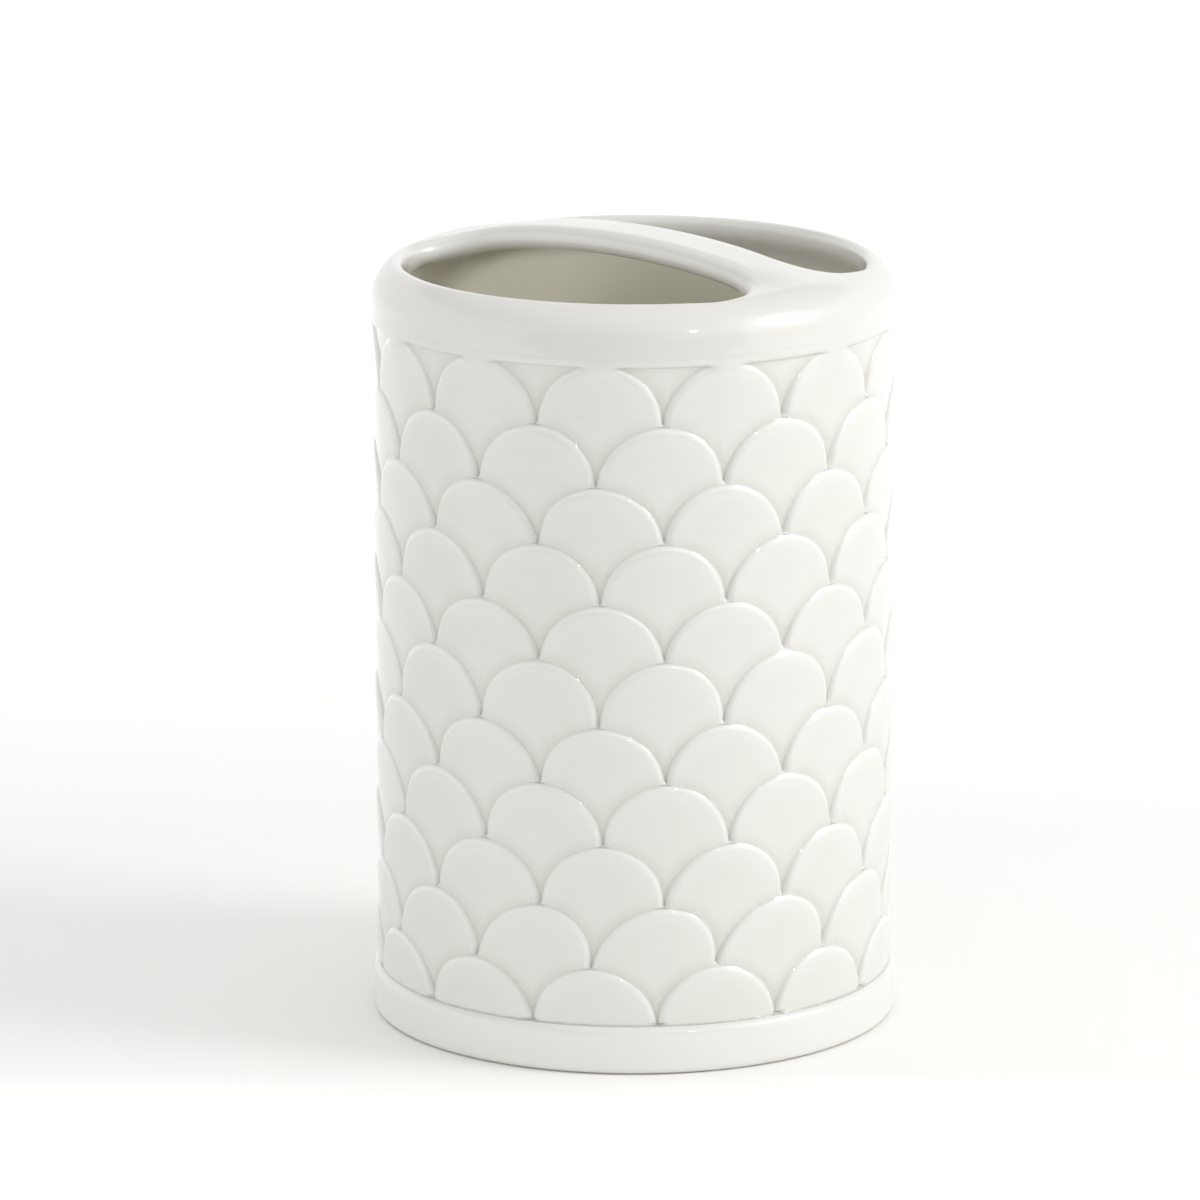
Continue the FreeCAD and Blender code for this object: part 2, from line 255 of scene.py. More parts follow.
def weld(mesh):
    """Join the points that lie together, and turn every face outwards."""
    work = bmesh.new()
    work.from_mesh(mesh)
    bmesh.ops.remove_doubles(work, verts=work.verts, dist=WELD_REACH * MM)
    bmesh.ops.recalc_face_normals(work, faces=work.faces)
    work.to_mesh(mesh)
    work.free()
    mesh.polygons.foreach_set("use_smooth", [True] * len(mesh.polygons))
    mesh.set_sharp_from_angle(angle=math.radians(SHARP_DEGREES))
    mesh.update()


def round_points(radii, heights, azimuths):
    """Points at these radii, heights and azimuths, all as arrays that fit each other."""
    parts = np.broadcast_arrays(radii * np.sin(azimuths), -radii * np.cos(azimuths), heights)
    return np.stack(parts, -1)


def turned(profile, azimuths):
    """A grid of points from a profile of radius and height pairs."""
    profile = np.array(profile)
    return round_points(profile[:, :1], profile[:, 1:], azimuths[None, :])


def arc(centre_radius, centre_height, radius, start, end, steps):
    """Points of a profile along an arc. Its angles are in degrees, up from straight outwards."""
    angles = np.radians(np.linspace(start, end, steps + 1))
    return [(centre_radius + radius * math.cos(angle), centre_height + radius * math.sin(angle))
            for angle in angles]


def apart_from_last(outline):
    """Which points of a closed outline don't repeat the one before them."""
    return np.hypot(*(outline - np.roll(outline, 1, axis=0)).T) > WELD_REACH


# The scale relief is drawn flat, with x in millimetres round the cup from a scale's middle.

HALF_SCALE = math.pi * RELIEF_RADIUS / SCALES_PER_ROW
TOP_ROW = len(NOTCH_HEIGHTS) - 1
GAP_ROW = TOP_ROW + 1
MEAN_PITCH = (NOTCH_HEIGHTS[-1] - NOTCH_HEIGHTS[0]) / TOP_ROW
TILTS = np.random.default_rng(SEED).uniform(-1, 1, (GAP_ROW + 1, SCALES_PER_ROW, 3))


def rise(row):
    """How far the tips of a row stand above its notches."""
    if row == TOP_ROW:
        return TOP_ROW_RISE
    return min(NOTCH_HEIGHTS[row + 1] - NOTCH_HEIGHTS[row] - TIP_GAP, HALF_SCALE)


def tip_height(row):
    if row == GAP_ROW:
        return tip_height(TOP_ROW) + MEAN_PITCH
    return NOTCH_HEIGHTS[row] + rise(row)


def arc_radius(row):
    return (HALF_SCALE ** 2 + rise(row) ** 2) / (2 * rise(row))


def arc_height(row):
    """Height of the middle of a row's arcs."""
    return tip_height(row) - arc_radius(row)


def half_arc(row):
    """The left half of a scale's arc, from its notch to its tip or to the collar."""
    middle, radius = arc_height(row), arc_radius(row)
    start = math.atan2(NOTCH_HEIGHTS[row] - middle, -HALF_SCALE) % (2 * math.pi)
    end, steps = math.pi / 2, ARC_SEGMENTS // 2
    if row == TOP_ROW:
        end, steps = math.pi - math.asin((RELIEF_TOP - middle) / radius), CUT_ARC_SEGMENTS
    angles = np.linspace(start, end, steps + 1)
    return np.stack([radius * np.cos(angles), middle + radius * np.sin(angles)], -1)


def mirrored(points):
    return points[::-1] * [-1, 1]


def level(start, end, height, steps):
    return np.stack([np.linspace(start, end, steps + 1), np.full(steps + 1, height)], -1)


def upper_edge(row):
    """The top edge of a scale from left to right, and which of its points lie on its arc."""
    if row == GAP_ROW:
        reach = HALF_SCALE + half_arc(TOP_ROW)[-1, 0]
        line = level(-reach, reach, RELIEF_TOP, GAP_LINE_SEGMENTS)
        return line, np.zeros(len(line), bool)
    left = half_arc(row)
    if row < TOP_ROW:
        edge = np.vstack([left, mirrored(left)[1:]])
        return edge, np.ones(len(edge), bool)
    line = level(left[-1, 0], -left[-1, 0], RELIEF_TOP, TOP_LINE_SEGMENTS)[1:-1]
    edge = np.vstack([left, line, mirrored(left)])
    on_arc = np.ones(len(edge), bool)
    on_arc[len(left):len(left) + len(line)] = False
    return edge, on_arc


def lower_edge(row):
    """The bottom edge of a scale from right to left: the arcs of the two scales below it."""
    if row == 0:
        return level(HALF_SCALE, -HALF_SCALE, RELIEF_FOOT, ARC_SEGMENTS)
    left_half = half_arc(row - 1)
    aside = [HALF_SCALE, 0]
    return np.vstack([left_half[::-1] + aside, (left_half * [-1, 1])[1:] - aside])


def face_radius(row, heights):
    """Radius of the leaning faces of a row."""
    return TIP_RADIUS - LEAN * (tip_height(row) - heights) / (2 * MEAN_PITCH)


def own_depth(row, x, z):
    """How far points lie inside the edge of their own scale."""
    if row == GAP_ROW:
        return np.full(x.shape, np.inf)
    middle, radius = arc_height(row), arc_radius(row)
    from_seam = HALF_SCALE - np.abs(x)
    from_arc = np.where(z >= middle, radius - np.hypot(x, z - middle), from_seam)
    return np.maximum(np.minimum(from_arc, from_seam), 0)


def lower_distance(row, x, z):
    """How far points lie above the edges of the scales below them."""
    if row == 0:
        return np.full(x.shape, np.inf)
    apart = np.hypot(np.abs(x) - HALF_SCALE, z - arc_height(row - 1))
    return np.maximum(apart - arc_radius(row - 1), 0)


def valley_depth(row, heights):
    """How far the valley at the lower edge of a scale is sunk below its face. It is deepest in
    the corner between the two scales below."""
    if row == 0:
        return np.full(np.shape(heights), GROOVE_DEPTH)
    up = (heights - NOTCH_HEIGHTS[row - 1]) / CORNER_REACH
    return GROOVE_DEPTH + CORNER_DEPTH * np.exp(-up ** 2)


def rim_radius(row, heights):
    """Radius along the arc of a scale, down in the valley of the scales above it."""
    return face_radius(row + 1, heights) - valley_depth(row + 1, heights)


def pool_and_shade_share(row, heights):
    """How much glaze gathers, and how much painted shade darkens, along the arcs of a row, most at
    their notches.
    """
    up = (heights - NOTCH_HEIGHTS[row]) / NOTCH_POOL_AND_SHADE_REACH
    return EDGE_POOL_AND_SHADE + (1 - EDGE_POOL_AND_SHADE) * np.exp(-up ** 2)


def eased(share):
    """A share from 0 to 1 with its ends smoothed."""
    share = np.clip(share, 0, 1)
    return share * share * (3 - 2 * share)


def flush_share(row, x, z):
    """How far a scale runs into the collar instead of ending at its own edge."""
    if row != TOP_ROW:
        return np.zeros(x.shape)
    half_width = abs(half_arc(TOP_ROW)[-1, 0])
    return eased(2 - 2 * np.abs(x) / half_width) * eased(1 - (RELIEF_TOP - z) / FLUSH_HEIGHT)


def relief(row, place, x, z):
    """Radius of points on a scale, and their glaze with its painted shade and painted highlights."""
    flush = flush_share(row, x, z)
    own = 1 - flush
    face = face_radius(row, z)
    face = face + flush * (COLLAR_RADIUS - face)
    depth, above = own_depth(row, x, z), lower_distance(row, x, z)
    inward = np.clip(1 - depth / EDGE_WIDTH, 0, 1)
    edge = inward ** EDGE_POWER * own
    groove = np.exp(-(above / GROOVE_WIDTH) ** 2)
    arc_row = min(row, TOP_ROW)
    high = np.clip((z - NOTCH_HEIGHTS[arc_row]) / rise(arc_row), 0, 1)
    border = own * high * (1 - eased((depth - BORDER_WIDTH) / BORDER_STEP))
    lift, turn, lean = TILTS[row, place] * FACE_TILT
    tilt = lift + (turn * x + lean * (z - tip_height(row))) / HALF_SCALE
    tilt = own * tilt * (1 - np.exp(-np.minimum(depth, above) ** 2))
    drop = face - rim_radius(row, z) if row < GAP_ROW else 0.0
    if 0 < row < GAP_ROW:
        seam = NOTCH_HEIGHTS[row] - tip_height(row - 1)
        share = np.clip((z - tip_height(row - 1)) / seam, 0, 1)
        drop = GROOVE_DEPTH + (drop - GROOVE_DEPTH) * share
    sunk = np.maximum(drop * edge, valley_depth(row, z) * groove)
    # Pooled glaze with painted shade: darker just inside the arcs and in the valley above the arcs
    # below, most at the notches
    pool_and_shade = inward ** POOL_AND_SHADE_POWER * own * pool_and_shade_share(row, z) if row < GAP_ROW else 0.0
    if row > 0:
        pool_and_shade = np.maximum(pool_and_shade, np.exp(-(above / POOL_AND_SHADE_WIDTH) ** 2) * pool_and_shade_share(row - 1, z))
    off_edge = 1 - inward ** OFF_EDGE_POWER
    # Thinned glaze with painted highlights: two pale bands inside each arc, palest towards its top
    thin_and_highlight = sum(share * np.exp(-((depth - middle) / THIN_AND_HIGHLIGHT_WIDTH) ** 2)
               for share, middle in zip(THIN_AND_HIGHLIGHT_SHARES, THIN_AND_HIGHLIGHT_PLACES))
    thin_and_highlight = thin_and_highlight * own * (THIN_AND_HIGHLIGHT_LOW_SHARE + (1 - THIN_AND_HIGHLIGHT_LOW_SHARE) * high) * off_edge
    return face + tilt - BORDER_DROP * border * off_edge - sunk, pool_and_shade - thin_and_highlight


def relief_points(row, place, x, z):
    """Points on a scale, bent round the cup, and their glaze with its painted shade and painted
    highlights.
    """
    radius, glaze_and_painted_light = relief(row, place, x, z)
    return bent(row, place, x, z, radius), glaze_and_painted_light


def scale_azimuth(row, place):
    shift = 0.5 if row % 2 == 0 else 0.0
    return math.radians(FIRST_NOTCH_DEGREES) + (place + shift) * 2 * math.pi / SCALES_PER_ROW


def hand_drift(waves, azimuth, share):
    return HAND_DRIFT * sum(np.sin(around * azimuth + along * share + phase)
                            for around, along, phase in waves)


def bent(row, place, x, z, radius):
    """Points of a scale bent round the cup. The wander fades out at the foot and the top."""
    azimuth = scale_azimuth(row, place) + x / RELIEF_RADIUS
    share = (z - RELIEF_FOOT) / (RELIEF_TOP - RELIEF_FOOT)
    window = np.sqrt(np.sin(math.pi * np.clip(share, 0, 1)))
    up = hand_drift(UP_WAVES, azimuth, share) + HAND_LEAN * np.sin(azimuth)
    drift = hand_drift(ROUND_WAVES, azimuth, share) + HAND_SWING * np.sin(azimuth)
    drift = drift + np.interp(z, NOTCH_HEIGHTS, ROW_SHIFTS)
    return round_points(radius, z + window * up, azimuth + drift / RELIEF_RADIUS)


def add_scale(skin, row, place):
    """One scale as rings that shrink from its outline to a point on its face."""
    upper, on_arc = upper_edge(row)
    lower = lower_edge(row)
    outline = np.vstack([upper, lower])
    on_own_arc = np.concatenate([on_arc, np.zeros(len(lower), bool)])
    on_lower_arc = np.concatenate([np.zeros(len(upper), bool), np.full(len(lower), row > 0)])
    apart = apart_from_last(outline)
    outline, on_own_arc, on_lower_arc = outline[apart], on_own_arc[apart], on_lower_arc[apart]

    centre_height = NOTCH_HEIGHTS[row] + CENTRE_LIFT if row < GAP_ROW else RELIEF_TOP - CENTRE_LIFT
    centre = np.array([0, centre_height])
    spokes = outline - centre
    reach = np.hypot(*spokes.T)
    shrunk = np.exp(-np.array(RING_DEPTHS)[:, None] / reach)[..., None] * spokes + centre
    x, z = shrunk[..., 0], shrunk[..., 1]
    radius, glaze_and_painted_light = relief(row, place, x, z)
    heights = outline[:, 1]
    if row < GAP_ROW:
        radius[0] = np.where(on_own_arc, rim_radius(row, heights), radius[0])
    radius[0] = np.where(on_lower_arc, rim_radius(row - 1, heights), radius[0])
    points = bent(row, place, x, z, radius)
    skin.add_grid(points, glaze_and_painted_light)
    middle, _ = relief_points(row, place, centre[:1], centre[1:])
    skin.add_fan(points[-1], middle)


def relief_ring(row_lines):
    """The closed ring of relief points along its foot or its top, and their glaze with its painted
    shade and painted highlights. Each line is a row of scales and the x and height of points on each
    of them."""
    ring, glaze_and_painted_light = [], []
    for place in range(SCALES_PER_ROW):
        for row, line in row_lines:
            points, lies = relief_points(row, place, line[:-1, 0], line[:-1, 1])
            ring.append(points)
            glaze_and_painted_light.append(lies)
    return np.vstack(ring), np.concatenate(glaze_and_painted_light)


def blended(ring, target, shares, heights):
    """Rows from a ring of points towards a radius, each with its own share of the way and
    height, and the azimuths of the ring."""
    radii = np.hypot(ring[:, 0], ring[:, 1])
    azimuths = np.arctan2(ring[:, 0], -ring[:, 1])
    rows = [round_points(radii + share * (target - radii), np.full(len(ring), height), azimuths)
            for share, height in zip(shares, heights)]
    return np.stack(rows), azimuths


def last_only(rows):
    """The last of these rows is wholly inside the cup, and the others are outside."""
    return np.eye(rows)[:, -1:]


def make_cup(materials):
    skin = Skin()
    for row in range(GAP_ROW + 1):
        for place in range(SCALES_PER_ROW):
            add_scale(skin, row, place)
    add_base(skin)
    add_collar_and_cavity(skin)
    return skin.make("cup_glazed", materials)


def add_base(skin):
    """The plain band, the foot ring with its bare clay, and the recessed underside."""
    foot_line = lower_edge(0)[::-1]
    ring, ring_glaze_and_painted_light = relief_ring([(0, foot_line)])
    lip_radius = BAND_RADIUS - BAND_LIP_ROUNDING
    lip_height = BAND_HEIGHT - BAND_LIP_ROUNDING
    lip = arc(lip_radius, lip_height, BAND_LIP_ROUNDING, BAND_LIP_START_DEGREES, 0, BAND_LIP_STEPS)
    lip_foot = lip[0]
    heights = [RELIEF_FOOT, BAND_HEIGHT, (BAND_HEIGHT + lip_foot[1]) / 2]
    ledge, azimuths = blended(ring, lip_foot[0], LEDGE_SHARES, heights)
    # The ledge above the band is darkened as pooled glaze with painted shade, and the band from its
    # lip down is painted paler as painted light
    glaze_and_painted_light = np.outer([0, 1, 1, BAND_PAINTED_LIGHT], np.ones(len(ring)))
    glaze_and_painted_light[0] = ring_glaze_and_painted_light
    skin.add_grid(np.concatenate([ledge, turned(lip[:1], azimuths)]), glaze_and_painted_light)

    foot_radius = BAND_RADIUS - FOOT_ROUNDING
    band = [(BAND_RADIUS, lip_height * share) for share in BAND_SHARES]
    foot = arc(foot_radius, FOOT_ROUNDING, FOOT_ROUNDING, 0, GLAZE_STOPS_DEGREES, FOOT_STEPS)
    skin.add_grid(turned(lip + band + foot, azimuths), BAND_PAINTED_LIGHT)
    inner_radius = FOOT_RING_INNER_RADIUS + FOOT_INNER_ROUNDING
    bare = arc(foot_radius, FOOT_ROUNDING, FOOT_ROUNDING, GLAZE_STOPS_DEGREES, -90, BARE_STEPS)
    bare += arc(inner_radius, FOOT_INNER_ROUNDING, FOOT_INNER_ROUNDING, -90,
                FOOT_INNER_STOP_DEGREES, BARE_STEPS)
    skin.add_grid(turned(bare, azimuths), finish=BARE)
    recess = [bare[-1], (FOOT_RING_INNER_RADIUS, FOOT_RECESS - FOOT_INNER_ROUNDING)]
    recess += [(FOOT_RING_INNER_RADIUS * share, FOOT_RECESS) for share in RECESS_SHARES]
    skin.add_grid(turned(recess, azimuths))
    skin.add_fan(turned(recess[-1:], azimuths)[0], [[0, 0, FOOT_RECESS]])


def add_collar_and_cavity(skin):
    """The cup's part of the collar, the lap, the inner wall and the floor."""
    gap_line, _ = upper_edge(GAP_ROW)
    top_edge, _ = upper_edge(TOP_ROW)
    corner = CUT_ARC_SEGMENTS
    top_line = top_edge[corner:len(top_edge) - corner]
    ring, ring_glaze_and_painted_light = relief_ring([(GAP_ROW, gap_line), (TOP_ROW, top_line)])
    heights = [RELIEF_TOP + up for up in COLLAR_FOOT_RISES]
    ledge, azimuths = blended(ring, COLLAR_RADIUS, COLLAR_FOOT_SHARES, heights)
    # The step under the collar, where it stands open, is darkened as pooled glaze with painted shade
    open_step = np.clip((COLLAR_RADIUS - np.hypot(ring[:, 0], ring[:, 1])) / STEP_POOL_AND_SHADE, 0, 1)
    glaze_and_painted_light = (1 - np.array(COLLAR_FOOT_SHARES))[:, None] * open_step
    glaze_and_painted_light[0] = ring_glaze_and_painted_light
    skin.add_grid(ledge, glaze_and_painted_light)

    edge_height = JOINT_HEIGHT - JOINT_ROUNDING
    edge = arc(COLLAR_RADIUS - JOINT_ROUNDING, edge_height, JOINT_ROUNDING, 0, 90, CUP_EDGE_STEPS)
    lap = [(LAP_RADIUS, JOINT_HEIGHT), (LAP_RADIUS, LAP_HEIGHT), (CAVITY_RADIUS, LAP_HEIGHT)]
    collar = [(COLLAR_RADIUS, heights[-1]), (COLLAR_RADIUS, JOINT_HEIGHT - GUARD_HEIGHT)]
    profile = collar + edge + lap
    skin.add_grid(turned(profile, azimuths), inside=last_only(len(profile)))
    wall_foot = FLOOR_HEIGHT + FLOOR_ROUNDING
    wall = [(CAVITY_RADIUS, LAP_HEIGHT + (wall_foot - LAP_HEIGHT) * share)
            for share in np.linspace(0, 1, WALL_ROWS, endpoint=False)]
    corner_arc = arc(CAVITY_RADIUS - FLOOR_ROUNDING, wall_foot, FLOOR_ROUNDING, 0, -90,
                     FLOOR_CORNER_STEPS)
    floor = [(corner_arc[-1][0] * share, FLOOR_HEIGHT) for share in FLOOR_SHARES]
    inside = wall + corner_arc + floor
    # The inner wall and floor take the painted shade of the inside
    skin.add_grid(turned(inside, azimuths), inside=1.0)
    skin.add_fan(turned(inside[-1:], azimuths)[0], [[0, 0, FLOOR_HEIGHT]], inside=1.0)


# Domed top. Plan places are s along the bridge and b across it.

MOUTH_RADIUS = CAVITY_RADIUS - RIM_OVERHANG
DOME_RADIUS = (MOUTH_RADIUS ** 2 + DOME_RISE ** 2) / (2 * DOME_RISE)
DOME_MIDDLE_HEIGHT = CREST_HEIGHT - DOME_RADIUS
CORNER_MIDDLE_B = BRIDGE_WIDTH / 2 + MOUTH_CORNER_RADIUS
CORNER_MIDDLE_S = math.sqrt((MOUTH_RADIUS - MOUTH_CORNER_RADIUS) ** 2 - CORNER_MIDDLE_B ** 2)


def over_height(s, b):
    """Height of the top's outer face before its lips are rounded."""
    radius = np.minimum(np.hypot(s, b), COLLAR_RADIUS)
    dome = DOME_MIDDLE_HEIGHT + np.sqrt(DOME_RADIUS ** 2 - radius ** 2)
    out = np.clip((radius - COLLAR_RADIUS + SHOULDER_WIDTH) / SHOULDER_WIDTH, 0, 1)
    shoulder = SHOULDER_DROP * (1 - (1 - out ** SHOULDER_POWER) ** (1 / SHOULDER_POWER))
    return dome - shoulder - end_dip(s, b) * (1 - out)


def end_dip(s, b):
    """How far the top dips at both ends of the mouths."""
    along = (np.abs(s) - DIP_PLACE[0]) / DIP_REACH[0]
    across = (np.abs(b) - DIP_PLACE[1]) / DIP_REACH[1]
    return DIP_DEPTH * np.exp(-along ** 2 - across ** 2)


def under_height(s, b):
    """Height of the top's inner face, which runs down into the wall in a fillet."""
    radius = np.minimum(np.hypot(s, b), CAVITY_RADIUS)
    vault = DOME_MIDDLE_HEIGHT + np.sqrt((DOME_RADIUS - TOP_WALL) ** 2 - radius ** 2)
    out = np.clip((radius - CAVITY_RADIUS + INNER_FILLET) / INNER_FILLET, 0, 1)
    return vault - INNER_FILLET * (1 - np.sqrt(1 - out ** 2)) - end_dip(s, b) * (1 - out)


def evenly_spaced(start, end, steps):
    """Places along the bridge's middle line that part its outline into equal runs."""
    fine = np.linspace(start, end, FINE_COLUMNS)
    run = np.hypot(np.diff(fine), np.diff(over_height(fine, 0 * fine)))
    length = np.concatenate([[0], np.cumsum(run)])
    return np.interp(np.linspace(0, length[-1], steps + 1), length, fine)


def mouth_columns():
    """Points round one mouth, and the directions that lead straight away from it. One of them
    on each side leads to the end of the bridge's middle line."""
    line = np.linspace(-CORNER_MIDDLE_S, CORNER_MIDDLE_S, LINE_COLUMNS + 1)[:-1]
    spots = [np.stack([line, np.full(len(line), BRIDGE_WIDTH / 2)], -1)]
    ways = [np.tile([0.0, -1.0], (len(line), 1))]
    ends = evenly_spaced(CORNER_MIDDLE_S, COLLAR_RADIUS, INNER_CORNER_COLUMNS)
    to_ends = np.arctan2(-CORNER_MIDDLE_B, ends - CORNER_MIDDLE_S)
    to_arc = math.atan2(CORNER_MIDDLE_B, CORNER_MIDDLE_S)
    outer = np.linspace(to_ends[-1], to_arc, OUTER_CORNER_COLUMNS + 1)
    corner = np.concatenate([to_ends[:-1], outer[:-1]])
    middle = np.array([CORNER_MIDDLE_S, CORNER_MIDDLE_B])
    way = np.stack([np.cos(corner), np.sin(corner)], -1)
    spots.append(middle + MOUTH_CORNER_RADIUS * way)
    ways.append(way)
    rim = np.linspace(to_arc, math.pi - to_arc, RIM_COLUMNS + 1)
    way = np.stack([np.cos(rim), np.sin(rim)], -1)
    spots.append(MOUTH_RADIUS * way)
    ways.append(way)
    back = slice(None, 0, -1)
    spots.append((spots[1] * [-1, 1])[back])
    ways.append((ways[1] * [-1, 1])[back])
    return np.vstack(spots), np.vstack(ways)


def mouth_targets(spots, ways):
    """Where each direction ends: on the bridge's middle line or on the collar."""
    along = np.sum(spots * ways, -1)
    to_collar = -along + np.sqrt(along ** 2 - np.sum(spots ** 2, -1) + COLLAR_RADIUS ** 2)
    down = np.where(ways[:, 1] < 0, ways[:, 1], -LEAST)
    to_middle = -spots[:, 1] / down
    reach = np.minimum(to_collar, to_middle)
    return spots + reach[:, None] * ways


def rounded_rows(spots, targets, rounding, height_at, side, rows):
    """Rows of points from a mouth's edge to its targets, over the rounded lip and then evenly
    along the face. The side is 1 above and -1 below."""
    reach = np.hypot(*(targets - spots).T)
    turns = np.radians(np.linspace(0, 90, LIP_ROWS))
    grid = np.zeros((LIP_ROWS + rows, len(spots), 3))
    for column in range(len(spots)):
        way = (targets[column] - spots[column]) / reach[column]
        fine = np.linspace(rounding, reach[column], FINE_ROWS)
        plan = spots[column] + fine[:, None] * way
        run = np.hypot(np.diff(fine), np.diff(height_at(*plan.T)))
        length = np.concatenate([[0], np.cumsum(run)])
        even = np.interp(np.linspace(0, length[-1], rows + 1)[1:], length, fine)
        out = np.concatenate([rounding * (1 - np.cos(turns)), even])
        plan = spots[column] + out[:, None] * way
        inset = rounding - np.minimum(out, rounding)
        drop = rounding - np.sqrt(rounding ** 2 - inset ** 2)
        grid[:, column, :2] = plan
        grid[:, column, 2] = height_at(*plan.T) - side * drop
    return grid


def laid(plan_grid, half):
    """Points from s, b and height into the frame, for either half of the top."""
    turn = math.radians(BRIDGE_DEGREES)
    along = np.array([math.sin(turn), -math.cos(turn)])
    across = np.array([-along[1], along[0]])
    flat = half * (plan_grid[..., :1] * along + plan_grid[..., 1:2] * across)
    return np.concatenate([flat, plan_grid[..., 2:]], -1)


def targets_below(targets):
    """Where the directions end on the inner face, which is narrower than the outer one."""
    under_targets = targets.copy()
    on_middle = targets[:, 1] < WELD_REACH
    corner_share = (CAVITY_RADIUS - CORNER_MIDDLE_S) / (COLLAR_RADIUS - CORNER_MIDDLE_S)
    past = np.maximum(np.abs(targets[:, 0]) - CORNER_MIDDLE_S, 0)
    squeezed = np.sign(targets[:, 0]) * (np.abs(targets[:, 0]) - past * (1 - corner_share))
    under_targets[on_middle, 0] = squeezed[on_middle]
    under_targets[~on_middle] *= CAVITY_RADIUS / COLLAR_RADIUS
    return under_targets


def make_top(materials):
    skin = Skin()
    spots, ways = mouth_columns()
    targets = mouth_targets(spots, ways)
    under_targets = targets_below(targets)
    over = rounded_rows(spots, targets, LIP_OVER_ROUNDING, over_height, 1, OVER_ROWS)
    under = rounded_rows(spots, under_targets, LIP_UNDER_ROUNDING, under_height, -1, UNDER_ROWS)
    face = np.concatenate([under[::-1], over])
    # The lips' top is painted paler as thin glaze with a painted highlight, and the underside takes
    # the painted shade of the inside
    thin_and_highlight = np.zeros(len(face))
    thin_and_highlight[len(under):len(under) + LIP_THIN_AND_HIGHLIGHT_ROWS] = -1
    inside = np.zeros(len(face))
    inside[:UNDER_ROWS] = 1
    inside[UNDER_ROWS - len(UNDER_SHADE_SHARES):UNDER_ROWS] = UNDER_SHADE_SHARES
    for half in (1, -1):
        skin.add_grid(laid(face, half), thin_and_highlight[:, None], inside[:, None])

    first = LINE_COLUMNS + INNER_CORNER_COLUMNS
    rim = targets[first:len(targets) - INNER_CORNER_COLUMNS]
    rim = np.concatenate([rim, -rim])
    plan = laid(np.column_stack([rim, np.zeros(len(rim))]), 1)
    azimuths = np.arctan2(plan[:, 0], -plan[:, 1])
    collar_top = float(over_height(COLLAR_RADIUS, 0.0))
    vault_foot = float(under_height(CAVITY_RADIUS, 0.0))
    edge_height = TOP_FOOT_HEIGHT + JOINT_ROUNDING
    edge = arc(COLLAR_RADIUS - JOINT_ROUNDING, edge_height, JOINT_ROUNDING, 0, -90, TOP_EDGE_STEPS)
    spigot = [(SPIGOT_RADIUS, TOP_FOOT_HEIGHT), (SPIGOT_RADIUS, SPIGOT_FOOT_HEIGHT),
              (CAVITY_RADIUS, SPIGOT_FOOT_HEIGHT)]
    collar_heights = np.linspace(collar_top, TOP_FOOT_HEIGHT + GUARD_HEIGHT, COLLAR_ROWS)
    collar = [(COLLAR_RADIUS, height) for height in collar_heights]
    profile = collar + edge + spigot
    skin.add_grid(turned(profile, azimuths), inside=last_only(len(profile)))
    bore_heights = np.linspace(SPIGOT_FOOT_HEIGHT, vault_foot, COLLAR_ROWS)
    bore = [(CAVITY_RADIUS, height) for height in bore_heights]
    skin.add_grid(turned(bore, azimuths), inside=1.0)
    return skin.make("top_glazed", materials)


def make_slip(materials):
    """The ring of slip in the joint, a Z in section, a little hollow where it shows outside."""
    skin = Skin()
    azimuths = np.radians(np.linspace(0, 360, SLIP_COLUMNS, endpoint=False))
    middle = (JOINT_HEIGHT + TOP_FOOT_HEIGHT) / 2
    outline = [(LAP_RADIUS, JOINT_HEIGHT), (SLIP_RADIUS, JOINT_HEIGHT),
               (SLIP_RADIUS - SLIP_HOLLOW, middle), (SLIP_RADIUS, TOP_FOOT_HEIGHT),
               (SPIGOT_RADIUS, TOP_FOOT_HEIGHT), (SPIGOT_RADIUS, SPIGOT_FOOT_HEIGHT),
               (CAVITY_RADIUS, SPIGOT_FOOT_HEIGHT), (CAVITY_RADIUS, LAP_HEIGHT),
               (LAP_RADIUS, LAP_HEIGHT)]
    # Points on the inner faces take the painted shade of the inside
    inside = np.array([0, 0, 0, 0, 0, 1, 1, 1, 1, 0])
    skin.add_grid(turned(outline + outline[:1], azimuths), inside=inside[:, None])
    return skin.make("slip_ring", materials)


# Finishes. Each noise is given by its waves to a metre, its detail and its roughness.

GLAZE_COLOUR = (0.815, 0.807, 0.768, 1)
GLAZE_COLOUR_WARM = (0.80, 0.79, 0.745, 1)
GLAZE_COLOUR_POOLED_AND_SHADE = (0.68, 0.675, 0.615, 1)
GLAZE_COLOUR_THIN_AND_HIGHLIGHT = (0.90, 0.895, 0.865, 1)
GLAZE_COLOUR_INSIDE_SHADE = (0.775, 0.75, 0.64, 1)
GLAZE_COLOUR_SPECK = (0.62, 0.59, 0.52, 1)
CLAY_COLOUR = (0.62, 0.58, 0.51, 1)
CLAY_COLOUR_PALE = (0.74, 0.70, 0.63, 1)
# The values of a noise between which a finish changes
NOISE_BAND = (0.3, 0.7)
GLAZE_TONE = (28.0, 3.0)
CLAY_TONE = (400.0, 4.0, 0.6)
SLIP_TONE = (300.0, 3.0)
# Roughness of each finish: its noise, and its ends
GLAZE_ROUGHNESS = ((90.0, 3.0), 0.30, 0.42)
CLAY_ROUGHNESS = ((700.0, 2.0), 0.78, 0.92)
SLIP_ROUGHNESS = ((500.0, 2.0), 0.30, 0.42)
# The clear gloss over glaze and slip
GLOSS_IOR = 1.5
GLAZE_GLOSS_ROUGHNESS = 0.035
SLIP_GLOSS_ROUGHNESS = 0.05
# Least pool, with its painted shade, that tints the glaze
POOL_AND_SHADE_START = 0.05
# Specks show where a fine noise is high
SPECKS = (1100.0, 0.0)
SPECK_BAND = (0.78, 0.88)
SPECK_SHARE = 0.10
